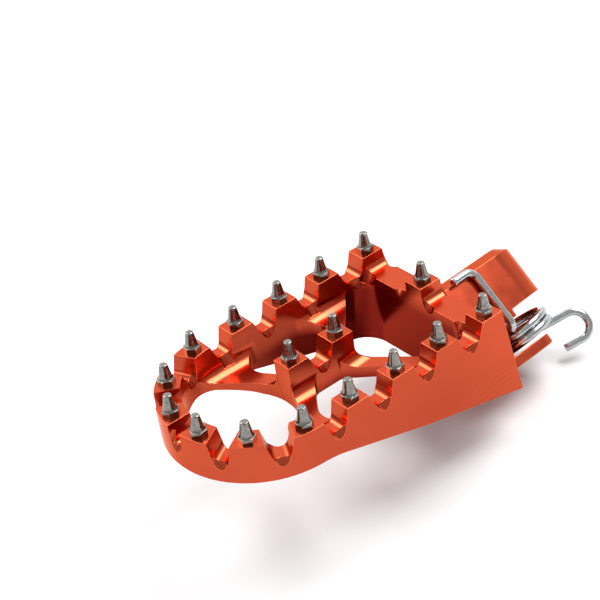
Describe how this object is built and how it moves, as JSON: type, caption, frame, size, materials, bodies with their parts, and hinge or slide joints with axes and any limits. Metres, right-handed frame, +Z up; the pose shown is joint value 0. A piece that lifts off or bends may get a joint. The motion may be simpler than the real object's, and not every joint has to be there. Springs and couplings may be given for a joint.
{
  "type": "motorcycle foot peg",
  "caption": "Folding off-road motorcycle foot peg: a wide open-framed alloy platform with steel traction pins, a tilted two-ear pivot lug and a coiled return spring.",
  "frame": {"origin": "middle of the pin bore, on its axis, half way between the outer faces of the two lug ears", "axes": "+X inboard along the peg, from toe to lug; +Y forward on the motorcycle; +Z up, square to the tops of the tread pads"},
  "size_m": [0.1442, 0.057, 0.0532],
  "materials": {
    "anodised_alloy": "machined and orange anodised, satin, bare bright edges",
    "pin_steel": "turned stainless steel",
    "spring_wire": "bright zinc-plated spring steel wire"
  },
  "bodies": {
    "peg": {"peg_body": "anodised_alloy", "traction_pin_01": "pin_steel", "traction_pin_02": "pin_steel", "traction_pin_03": "pin_steel", "traction_pin_04": "pin_steel", "traction_pin_05": "pin_steel", "traction_pin_06": "pin_steel", "traction_pin_07": "pin_steel", "traction_pin_08": "pin_steel", "traction_pin_09": "pin_steel", "traction_pin_10": "pin_steel", "traction_pin_11": "pin_steel", "traction_pin_12": "pin_steel", "traction_pin_13": "pin_steel", "traction_pin_14": "pin_steel", "traction_pin_15": "pin_steel", "traction_pin_16": "pin_steel", "traction_pin_17": "pin_steel", "return_spring": "spring_wire"},
    "hook": {"spring_hook": "spring_wire"}
  },
  "joints": [
    {"name": "spring_wind", "type": "hinge", "parent": "peg", "child": "hook", "pos_m": [0.00222, -0.00451, -0.00298], "axis": [0.1011, -0.6737, -0.732], "range_deg": [0, 75], "stiffness_Nm_per_rad": 3, "deforming": ["return_spring"]}
  ]
}
